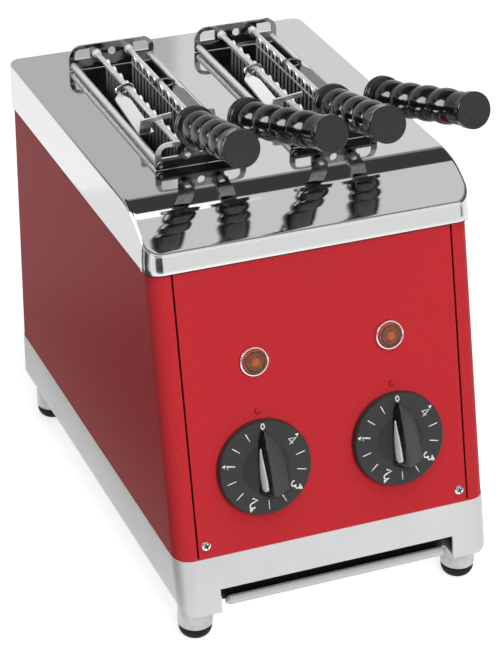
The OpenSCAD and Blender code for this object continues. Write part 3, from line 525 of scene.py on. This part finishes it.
# Lamps: a turned chrome bezel on the panel holds a ribbed amber lens, lit from
# behind by a neon body when its slot is on.
lamp_z = 0.1675
lens_r, lens_h, lens_back, lens_wall, lens_step, lens_edge = 0.0074, 0.0040, -0.0027, 0.0014, 0.0009, 0.0003
rib_from, rib_high, rib_wide, dome_h, rib_steps = lens_r - 0.0006, 0.00022, 0.00105, 0.0007, 59
bezel_in, bezel_r, bezel_h, bezel_wall, bezel_edge = lens_r + 0.0001, 0.0090, 0.0024, 0.0012, 0.0009
lip_edge, lip_drop, lamp_sides = 0.0002, 0.0006, 48
bright = grained("bright_steel", 300, grey(0.72), grey(0.84), (0.12, 0.2), metal=1.0)
ribs = []
for k in range(rib_steps):
    r = rib_from - rib_from * k / rib_steps
    wave = rib_high * math.sin(r / rib_wide * 2 * math.pi)
    ribs.append((r, lens_h - lens_step + wave + dome_h * (1 - (r / lens_r) ** 2)))
lens_shape = lathe([(0, lens_back), (lens_r, lens_back), (lens_r, lens_h - lens_wall),
                    (lens_r - lens_edge, lens_h - lens_step)] + ribs +
                   [(0, lens_h - lens_step + dome_h)], lamp_sides)
bezel_shape = lathe([(bezel_in, 0), (bezel_r, 0), (bezel_r, bezel_h - bezel_wall)] +
                    arc(bezel_r - bezel_edge, bezel_h - bezel_edge, bezel_edge, 0, 90, 6) +
                    [(bezel_in + lip_edge, bezel_h - lip_edge), (bezel_in, bezel_h - lip_drop),
                     (bezel_in, 0)], lamp_sides)
# one amber glass in rings: dark rings of painted shade, a bright core of painted glow, and a redder rim
ambers = []
for name, dark, pale in (("amber_lens", (0.24, 0.060, 0.018), (0.36, 0.095, 0.026)),
                         ("amber_shadow", (0.085, 0.036, 0.022), (0.16, 0.066, 0.038)),
                         ("amber_painted_glow", (0.44, 0.10, 0.025), (0.58, 0.16, 0.045)),
                         ("amber_edge", (0.42, 0.032, 0.010), (0.56, 0.055, 0.014))):
    amber = grained(name, 500, dark, pale, (0.12, 0.22))
    shader = amber.node_tree.nodes["Principled BSDF"]
    shader.inputs["Coat Weight"].default_value = 0.2
    shader.inputs["Coat Roughness"].default_value = 0.08
    ambers.append(amber)
lens_tone, shadow_tone, glow_tone, edge_tone = range(4)
zones = ((0.0022, glow_tone), (0.0034, lens_tone), (0.0040, shadow_tone), (0.0050, lens_tone),
         (0.0069, shadow_tone), (1, edge_tone))
lamp_up = (lamp_z - knob_at["l"].z) / math.cos(lean)
lamp_at = [on_panel(knob_at[s].x, lamp_up, knob_at[s]) for s in "lr"]
lenses = new_piece("lamp_glass", *copies(lens_shape, lamp_at), ambers[lens_tone])
for amber in ambers[1:]:
    lenses.data.materials.append(amber)
for side in lenses.data.polygons:
    r = min((m.inverted() @ side.center).xy.length for m in lamp_at)
    side.material_index = next(tone for limit, tone in zones if r < limit)
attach(lenses, "body")
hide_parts("lamp_lenses")
bezels = new_piece("lamp_rings", *copies(bezel_shape, lamp_at), bright)
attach(bezels, "body")
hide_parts("lamp_bezels")

# Panel screws: two pan heads with a cross recess hold the lower corners of the
# front panel; they are nickel plated, and a black cross on each head is painted
# shade in the recess.
head_r, cross_l, cross_w, cross_low, cross_high, cross_turn = 0.0030, 0.0018, 0.00045, 0.0011, 0.0018, 0.35
head_curve = [(0, 0), (head_r, 0), (head_r, 0.0005), (0.0028, 0.0009), (0.0022, 0.0013), (0.0012, 0.00155),
              (0, 0.0016)]


def slab(outline, thick):
    n = len(outline)
    verts = list(outline) + [v + thick for v in outline]
    faces = [tuple(range(n)), tuple(range(2 * n - 1, n - 1, -1))]
    faces += [(k, (k + 1) % n, n + (k + 1) % n, n + k) for k in range(n)]
    return verts, faces


screw_low, screw_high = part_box("panel_screws")
screw_x = screw_high[0] - head_r
screw_up = ((screw_low[2] + screw_high[2]) / 2 - knob_at["l"].z) / math.cos(lean)
screw_at = [on_panel(x, screw_up, knob_at["l"]) for x in (-screw_x, screw_x)]
bar = slab([Vector((x * cross_l, y * cross_w, cross_low)) for x, y in ((-1, -1), (1, -1), (1, 1), (-1, 1))],
           Vector((0, 0, cross_high - cross_low)))
cross = copies(bar, [Matrix.Rotation(cross_turn + a, 4, "Z") for a in (0, math.pi / 2)])
heads = new_piece("screw_heads", *copies(lathe(head_curve, 36), screw_at), bright)
# black cross on the head: painted shade in the recess
recess_shade = new_piece("screw_cross_shade", *copies(cross, screw_at), black, False)
for piece in (heads, recess_shade):
    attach(piece, "body")
    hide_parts("panel_screws")

# Knobs: moulded charcoal discs pushed on the timer shafts, each with a pointer
# ridge whose steep glossy left flank holds a silver teardrop; dials are printed.
knob_r, knob_t, knob_gap, ridge_h = 0.0288, 0.0055, 0.0007, 0.011
bore_r, bore_h, back_edge, face_edge, face_in = 0.0032, 0.0040, 0.0004, 0.001, 0.0013
charcoals = []
# one moulding in three tones: the face, the ridge's slope lighter as painted light, the hub darker as painted
# shade
for name, dark, pale in (("charcoal_moulding", 0.026, 0.040), ("charcoal_slope_painted_light", 0.046, 0.064),
                         ("charcoal_hub_painted_shade", 0.017, 0.027)):
    charcoals.append(grained(name, 1100, (dark, dark * 1.03, dark), (pale, pale * 1.03, pale * 0.98),
                             (0.46, 0.60), spec=0.3, bump=0.15))
gloss = grained("gloss_black", 200, grey(0.005), grey(0.010), (0.10, 0.17))
ink = grained("white_print", 1400, grey(0.80), grey(0.92), (0.5, 0.65))
silver = grained("silver_insert", 900, (0.55, 0.55, 0.52), (0.74, 0.74, 0.70), (0.4, 0.55), metal=0.35)
hub_curve = [(0.62, 0), (0.58, 0.0001), (0.52, 0.0005), (0.45, 0.0010), (0.38, 0.0013), (0.30, 0.0014),
             (0, 0.0014)]
disc = lathe([(0, bore_h), (bore_r, bore_h), (bore_r, 0), (knob_r - back_edge, 0), (knob_r, back_edge)] +
             arc(knob_r - face_in, knob_t - face_edge, face_edge, 0, 90, 6) +
             [(r * knob_r, knob_t + h) for r, h in hub_curve], 96)


def along(table, y):
    for (y0, v0), (y1, v1) in zip(table, table[1:]):
        if y <= y1:
            return v0 + (v1 - v0) * (y - y0) / (y1 - y0)
    return table[-1][1]


# the ridge and its teardrop in pairs: the place along the pointer in knob radii, then the
# place sideways in knob radii, or the height as a share of the ridge or of its flank
left_foot = ((-0.53, -0.19), (-0.48, -0.225), (0.07, -0.21), (0.38, -0.18), (0.64, -0.115), (0.82, -0.05))
right_foot = ((-0.53, 0.45), (-0.48, 0.475), (-0.2, 0.455), (0.04, 0.42), (0.34, 0.345), (0.57, 0.23),
              (0.77, 0.05), (0.82, -0.02))
crest = ((-0.53, 0.01), (-0.03, -0.025), (0.48, -0.055), (0.82, -0.035))
crest_h = ((-0.53, 0.96), (-0.42, 1.0), (0.05, 0.97), (0.45, 0.84), (0.7, 0.58), (0.82, 0.34))
edge_h = ((-0.53, 0.16), (0.1, 0.2), (0.5, 0.24), (0.82, 0.2))
drop_low = ((-0.43, 0.44), (-0.41, 0.34), (-0.37, 0.28), (-0.2, 0.23), (0.1, 0.23), (0.44, 0.28),
            (0.47, 0.32))
drop_high = ((-0.43, 0.52), (-0.41, 0.63), (-0.37, 0.68), (-0.2, 0.67), (0.1, 0.59), (0.44, 0.42),
             (0.47, 0.36))
slope_falls = ((0.08, 0.02), (0.35, 0.28), (0.7, 0.66), (0.93, 0.95))
flank_shares, foot_share = (0.5, 0.95), 0.6


def flank(y, share):
    lf, cx = along(left_foot, y), along(crest, y)
    return Vector(((lf + (cx - lf) * share) * knob_r, y * knob_r, along(crest_h, y) * ridge_h * share))


ridge_from, ridge_to, ridge_steps = -0.53, 0.82, 40
sunk = Vector((0, 0, 0.0003))
ridge_v = []
for i in range(ridge_steps + 1):
    y = ridge_from + (ridge_to - ridge_from) * i / ridge_steps
    rf, cx, top, low = (along(table, y) for table in (right_foot, crest, crest_h, edge_h))
    ridge_v += [flank(y, 0) - sunk] + [flank(y, share) for share in flank_shares]
    for share, fall in slope_falls:
        x, h = cx + (rf - cx) * share, top + (low - top) * fall
        ridge_v.append(Vector((x * knob_r, y * knob_r, h * ridge_h)))
    foot = Vector((rf * knob_r, y * knob_r, 0))
    ridge_v += [foot + Vector((0, 0, low * foot_share * ridge_h)), foot - sunk]
face = Matrix.Translation((0, 0, knob_t))
ridge = moved((ridge_v, skin(ridge_steps, 3 + len(flank_shares) + len(slope_falls))), face)
drop_from, drop_to, drop_steps = -0.43, 0.47, 30
drop_h, drop_edge, flat_from_share, flat_to_share = 0.0004, 0.7, 0.25, 0.75
proud = Vector((-0.9, 0, 0.42)) * drop_h
drop_v = []
for i in range(drop_steps + 1):
    y = drop_from + (drop_to - drop_from) * i / drop_steps
    a, b = flank(y, along(drop_low, y)), flank(y, along(drop_high, y))
    drop_v += [a - proud, a + proud * drop_edge, a.lerp(b, flat_from_share) + proud,
               a.lerp(b, flat_to_share) + proud, b + proud * drop_edge, b - proud]
teardrop = drop_v, skin(drop_steps, 6)
strokes = {
    "0": [[(0.3 * math.cos(t / 14 * 2 * math.pi), 0.5 * math.sin(t / 14 * 2 * math.pi)) for t in range(15)]],
    "1": [[(-0.22, 0.24), (0.06, 0.5), (0.06, -0.5)]],
    "2": [[(-0.3, 0.26), (-0.22, 0.43), (0, 0.5), (0.22, 0.42), (0.3, 0.24), (0.2, 0.02), (-0.3, -0.5),
           (0.32, -0.5)]],
    "3": [[(-0.28, 0.36), (-0.1, 0.5), (0.14, 0.48), (0.28, 0.3), (0.2, 0.1), (0, 0.03)],
          [(0, 0.03), (0.22, -0.06), (0.3, -0.26), (0.16, -0.46), (-0.08, -0.5), (-0.3, -0.36)]],
    "4": [[(0.14, -0.5), (0.14, 0.5), (-0.34, -0.2), (0.34, -0.2)]],
}
step_deg, steps_per_digit, dial_steps = 180 / 7, 3, 13
tick_from, tick_to, tick_pen = 0.68 * knob_r, 0.88 * knob_r, 0.00034
zero_size, digit_size = (0.0033, 0.885 * knob_r, 0.00040), (0.0058, 0.775 * knob_r, 0.00050)
tip_w, tip_from, tip_to, ink_h, ink_flat = 0.0013, 0.895 * knob_r, 0.965 * knob_r, 0.0001, 0.3
tick = tube([Vector((0, tick_from, 0)), Vector((0, tick_to, 0))], tick_pen, 6)
arrow = slab([Vector((x, y, ink_h)) for x, y in ((-tip_w, tip_from), (tip_w, tip_from), (0, tip_to))],
             Vector((0, 0, -2 * ink_h)))
flattened = Matrix.Diagonal((1, 1, ink_flat, 1))
printed = []
for k in range(dial_steps):
    out = Matrix.Rotation(math.radians(step_deg * k), 4, "Z")
    if k % steps_per_digit:
        printed.append(moved(tick, out @ flattened))
        continue
    high, at_r, pen = digit_size if k else zero_size
    for stroke in strokes[str(k // steps_per_digit)]:
        path = [Vector((x * high, at_r + y * high, 0)) for x, y in stroke]
        printed.append(moved(tube(path, pen, 6), out @ flattened))
    if k:
        printed.append(moved(arrow, out))
flank_lean, flank_reach, flank_up = -0.6, 0.9 * knob_r, 0.0002
slope_up, hub_up, crease = 0.0019, 0.0006, math.radians(85)
flank_tone, slope_light_tone, hub_shade_tone = 1, 2, 3
for s, name in (("l", "left"), ("r", "right")):
    at = on_panel(knob_at[s].x, 0, knob_at[s]) @ Matrix.Translation((0, 0, knob_gap))
    knob = new_piece("knob_body_" + name, *moved(joined(disc, ridge), at), charcoals[0])
    for mat in (gloss, charcoals[1], charcoals[2]):
        knob.data.materials.append(mat)
    for side in knob.data.polygons:
        spot = at.inverted() @ side.center
        if side.normal.x < flank_lean and spot.xy.length < flank_reach and spot.z > knob_t + flank_up:
            side.material_index = flank_tone
        elif spot.z > knob_t + slope_up:
            side.material_index = slope_light_tone
        elif spot.z > knob_t + hub_up:
            side.material_index = hub_shade_tone
    knob.data.set_sharp_from_angle(angle=crease)
    knob.modifiers.new("flats", "WEIGHTED_NORMAL").keep_sharp = True
    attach(knob, "knob_" + s)
    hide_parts("knob_" + name)
    drop = new_piece("knob_drop_" + name, *moved(teardrop, at @ face), silver)
    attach(drop, "knob_" + s)
    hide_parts("knob_mark_" + name)
    dial = new_piece("knob_print_" + name, *moved(joined(*printed), at @ face), ink)
    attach(dial, "knob_" + s)


# Crumb tray: a shallow folded aluminium tray that slides in over the base
# floor; its front edge is rolled into a pull. All of it behind the roll is
# coloured near black, painted shade for the gap under the notch.
def lying(tree):
    return split(tree, tree.nodes.new("ShaderNodeTexCoord").outputs["Object"])


def ranged(tree, value, start, end):
    span = tree.nodes.new("ShaderNodeMapRange")
    span.inputs["From Min"].default_value = start
    span.inputs["From Max"].default_value = end
    tree.links.new(value, span.inputs["Value"])
    return span.outputs["Result"]


roll_back, gap_shade_blend = -0.1462, 0.0006
tin, tree, shader = new_finish("tray_tin")
shader.inputs["Metallic"].default_value = 0.55
# near black behind the roll: painted shade in the notch gap
gap_shade = ranged(tree, lying(tree)["Y"], roll_back, roll_back + gap_shade_blend)
shade(tree, gap_shade, shader.inputs["Base Color"], (0.54, 0.54, 0.545), (0.010, 0.009, 0.008), 0.0, 1.0)
spread(tree, grain(tree, 900), shader.inputs["Roughness"], 0.36, 0.48)
dress(tin, "crumb_tray")


# Tong frames: each has two punched end plates and two side tubes, brazed and
# nickel plated; the frame lies on the slot and carries the two jaws. Its colour
# holds painted light: painted reflections striped by facing on the tubes, painted
# shade low down and painted light higher up on the front plates, and patches of
# painted reflection on the rear plates.
def tones(tree, fac, *stops):
    # a ramp of greys: the first and last stop move its own marks, the rest are added
    ramp = tree.nodes.new("ShaderNodeValToRGB")
    marks = ramp.color_ramp.elements
    for mark, (at, tone) in zip(marks, (stops[0], stops[-1])):
        mark.position = at
        mark.color = (*grey(tone), 1)
    for at, tone in stops[1:-1]:
        marks.new(at).color = (*grey(tone), 1)
    tree.links.new(fac, ramp.inputs["Fac"])
    return ramp.outputs["Color"]


def blended(tree, fac, first, second):
    mix = tree.nodes.new("ShaderNodeMix")
    mix.data_type = "RGBA"
    tree.links.new(fac, mix.inputs["Factor"])
    tree.links.new(first, mix.inputs["A"])
    tree.links.new(second, mix.inputs["B"])
    return mix.outputs["Result"]


plate_low, plate_high = (corner_at[2] for corner_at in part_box("tong_frame_left"))
# nickel with painted reflections by facing, and painted shade and light by height
nickel_painted_light, tree, shader = new_finish("nickel_painted_reflections")
shader.inputs["Metallic"].default_value = 0.5
toward, spot = facing(tree), lying(tree)
off_front = ranged(tree, toward["Y"], -0.92, -0.45)
tube_painted_reflections = tones(tree, ranged(tree, toward["X"], -1.0, 1.0), (0.0, 0.30), (0.03, 0.70), (0.10, 1.0), (0.53, 1.0),
              (0.57, 0.08), (0.66, 0.08), (0.70, 0.95), (1.0, 1.0))
plate_painted_reflections = tones(tree, grain(tree, 70, (1, 1, 2.5), 1.0), (0.46, 0.020), (0.56, 0.26))
plate_painted_shade = tones(tree, ranged(tree, spot["Z"], plate_low, plate_high), (0.0, 0.012), (0.30, 0.012),
                   (0.36, 0.13), (0.56, 0.22), (0.62, 0.55), (1.0, 0.75))
end_plate_painted_light = blended(tree, ranged(tree, spot["Y"], -0.01, 0.01), plate_painted_shade, plate_painted_reflections)
tree.links.new(blended(tree, off_front, end_plate_painted_light, tube_painted_reflections), shader.inputs["Base Color"])
spread(tree, grain(tree, 420), shader.inputs["Roughness"], 0.05, 0.11)
dress(nickel_painted_light, "tong_frame_left", "tong_frame_right")

# Jaws: each is a polished rod with wire hairpins welded along its inner side
# and joined by three cross wires; shoulders keep the rod between the plates.
rod_r, rod_back, rod_front, rod_edge = 0.0017, 0.081, 0.0865, 0.0003
shoulder_r, shoulder_l, shoulder_at = 0.0029, 0.0025, (0.0751, -0.0776)
wire_r, wire_in, grid_h, hair_rise = 0.0007, 0.0019, 0.128, 0.0014
hair_n, hair_pitch, bend_steps = 11, 0.012, 12
hair_r, half_run = hair_pitch / 4, hair_n * hair_pitch / 2
bar_share = (0.04, 0.5, 0.99)
painted_shade_below, painted_light_above = 0.244, 0.268
bent_steel, tree, shader = new_finish("bent_steel")
shader.inputs["Metallic"].default_value = 0.45
stain = grain(tree, 120, (1, 1, 0.4))
# dark low down and bright near the rod: painted shade in the chamber, painted light from above
shade(tree, lying(tree)["Z"], shader.inputs["Base Color"], (0.035, 0.035, 0.034), (0.90, 0.90, 0.895),
      painted_shade_below, painted_light_above)
spread(tree, stain, shader.inputs["Roughness"], 0.26, 0.38)


def round_bar(r, start, end):
    profile = [(0, start), (r - rod_edge, start), (r, start + rod_edge), (r, end - rod_edge),
               (r - rod_edge, end), (0, end)]
    return moved(lathe(profile, 24), Matrix.Rotation(-math.pi / 2, 4, "X"))


jaws = []
for tong in "lr":
    for side, m in (("l", -1), ("r", 1)):
        key = tong + side
        rod = Vector(hinges["jaw_%s_swing" % key]["pos_m"])
        jaws.append((key, m, rod))
        parts = [round_bar(rod_r, -rod_front, rod_back)]
        parts += [round_bar(shoulder_r, y, y + shoulder_l) for y in shoulder_at]
        wx = -m * wire_in
        for i in range(hair_n):
            y = (i - (hair_n - 1) / 2) * hair_pitch
            path = [Vector((wx, y - hair_r, -grid_h))]
            for t in range(bend_steps + 1):
                a = math.pi * (1 - t / bend_steps)
                path.append(Vector((wx, y + hair_r * math.cos(a), hair_rise - hair_r + hair_r * math.sin(a))))
            path.append(Vector((wx, y + hair_r, -grid_h)))
            parts.append(tube(path, wire_r))
        for share in bar_share:
            parts.append(tube([Vector((wx, y, -grid_h * share)) for y in (-half_run, half_run)], wire_r))
        grid = new_piece("wire_grid_" + key, *moved(joined(*parts), Matrix.Translation(rod)), bent_steel)
        grid.modifiers.new("flats", "WEIGHTED_NORMAL")
        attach(grid, "jaw_" + key)
        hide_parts("grid_" + key)

# Levers and necks: a stamped plate beside each rod, its front end bent up into a
# strip that crosses the rod; a wire link holds its back end to the rod, and a flat
# neck runs on to the grip. The right-hand plates are a darker nickel, painted
# reflection of the dark slot they face.
plate_t, strip_y = 0.0014, -0.0415
plate_plan = [(0.0032, 0.0045), (0.0065, 0.0140), (0.0078, 0.0142), (0.0118, 0.0080), (0.0140, strip_y),
              (0.0046, strip_y)]
plate_drop, tilt_x, tilt_y, tilt_from = 0.0008, 0.05, 0.045, (0.002, 0.014)
strip_view = [(0.0140, -0.0036), (0.0126, 0.0048), (-0.0062, 0.0070), (-0.0065, 0.0040), (0.0060, 0.0030),
              (0.0072, -0.0034)]
link_mid, link_half, link_wire, link_steps = (0.0024, 0.0172), (0.0058, 0.0012, 0.0026), 0.0009, 28
# darker nickel for the right-hand plates: painted reflection of the dark slot
plated_painted_dark_reflection = grained("plated_painted_dark_reflection", 240, grey(0.24), grey(0.42), (0.16, 0.30), metal=1.0)
for key, m, rod in jaws:
    plate = [Vector((m * x, y, -plate_drop - tilt_x * (x - tilt_from[0]) - tilt_y * (tilt_from[1] - y)))
             for x, y in plate_plan]
    strip = [Vector((m * x, strip_y, z)) for x, z in strip_view]
    link = []
    for t in range(link_steps + 1):
        a = 2 * math.pi * t / link_steps
        link.append(Vector((m * (link_mid[0] + link_half[0] * math.cos(a)),
                            link_mid[1] - link_half[1] * math.cos(a), link_half[2] * math.sin(a))))
    shape = joined(slab(plate, Vector((0, 0, -plate_t))), slab(strip, Vector((0, plate_t, 0))),
                   tube(link, link_wire))
    lever = new_piece("lever_plate_" + key, *moved(shape, Matrix.Translation(rod)),
                      nickel_painted_light if key[1] == "l" else plated_painted_dark_reflection, False)
    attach(lever, "jaw_" + key)
    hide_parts("lever_" + key)
# necks coloured a darker nickel than the plates: painted shade
neck_steel_painted_dark = grained("neck_steel_painted_dark", 300, grey(0.10), grey(0.19), (0.12, 0.2), metal=1.0)
dress(neck_steel_painted_dark, *["neck_" + key for key, m, rod in jaws])

# Grips: hard glossy black mouldings with a collar and a row of finger swells,
# screwed on the necks; a plug with a matt face closes the end of each.
grip_out, grip_fwd, grip_up = 0.0048, 0.109, 0.0287
rise, splay = math.radians(16.7), math.radians(6.2)
grip_l, cap_t, cap_r, cap_edge = 0.102, 0.005, 0.0104, 0.0009
dish_in, dish_edge, dish_mid = 0.0016, 0.0003, 0.0005
collar_r, collar_t, collar_edge = 0.012, 0.004, 0.0009
swell_r, valley_r, swells, swell_to = 0.0103, 0.0081, 4, 0.083
swell_power, end_swell, end_run, end_power, skin_in = 0.75, 0.62, 0.004, 0.6, 0.0005
grip_sides, grip_rings, matt_facing = 64, 150, 0.8
plug = grained("matt_plug", 800, (0.020, 0.020, 0.021), (0.034, 0.034, 0.035), (0.45, 0.6),
               spec=0.25, bump=0.1)
collar_curve = ([(0, 0)] + arc(collar_r - collar_edge, collar_edge, collar_edge, -90, 0, 5) +
                arc(collar_r - 0.0007, 0.0023, 0.0007, 0, 70, 4) + [(0.0112, 0.0032)] +
                arc(0.0110, 0.0040, 0.0007, -60, 0, 3) + arc(0.0107, 0.0052, 0.0010, 0, 80, 4) +
                [(0.0098, 0.0068), (0.0090, 0.0074), (0, 0.0074)])
collar = lathe(collar_curve, grip_sides)
skin_from, skin_to = collar_t - skin_in, grip_l - cap_t
skin_v = []
for i in range(grip_rings + 1):
    z = skin_from + (skin_to - skin_from) * i / grip_rings
    t = (z - collar_t) / (swell_to - collar_t)
    wave = abs(math.sin(math.pi * t * swells)) ** swell_power
    if t > 1:
        wave = end_swell * min(1, (z - swell_to) / end_run) ** end_power
    r = valley_r + (swell_r - valley_r) * wave
    for k in range(grip_sides):
        a = 2 * math.pi * k / grip_sides
        skin_v.append(Vector((r * math.cos(a), r * math.sin(a), z)))
grip_shape = joined(collar, (skin_v, skin(grip_rings, grip_sides)))
end_cap = lathe([(0, grip_l - cap_t), (cap_r, grip_l - cap_t), (cap_r, grip_l - cap_edge)] +
                arc(cap_r - cap_edge, grip_l - cap_edge, cap_edge, 0, 90, 5) +
                [(cap_r - dish_in, grip_l - dish_edge), (0, grip_l - dish_mid)], grip_sides)
for key, m, rod in jaws:
    at = (Matrix.Translation(rod + Vector((m * grip_out, -grip_fwd, grip_up))) @
          Matrix.Rotation(m * splay, 4, "Z") @ Matrix.Rotation(math.pi / 2 - rise, 4, "X"))
    handle = new_piece("grip_body_" + key, *moved(grip_shape, at), gloss)
    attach(handle, "jaw_" + key)
    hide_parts("grip_" + key)
    stopper = new_piece("grip_plug_" + key, *moved(end_cap, at), plug)
    stopper.data.materials.append(gloss)
    outward = at.to_3x3() @ Vector((0, 0, 1))
    for side in stopper.data.polygons:
        if side.normal.dot(outward) < matt_facing:
            side.material_index = 1
    stopper.modifiers.new("flats", "WEIGHTED_NORMAL")
    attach(stopper, "jaw_" + key)
    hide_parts("cap_" + key)
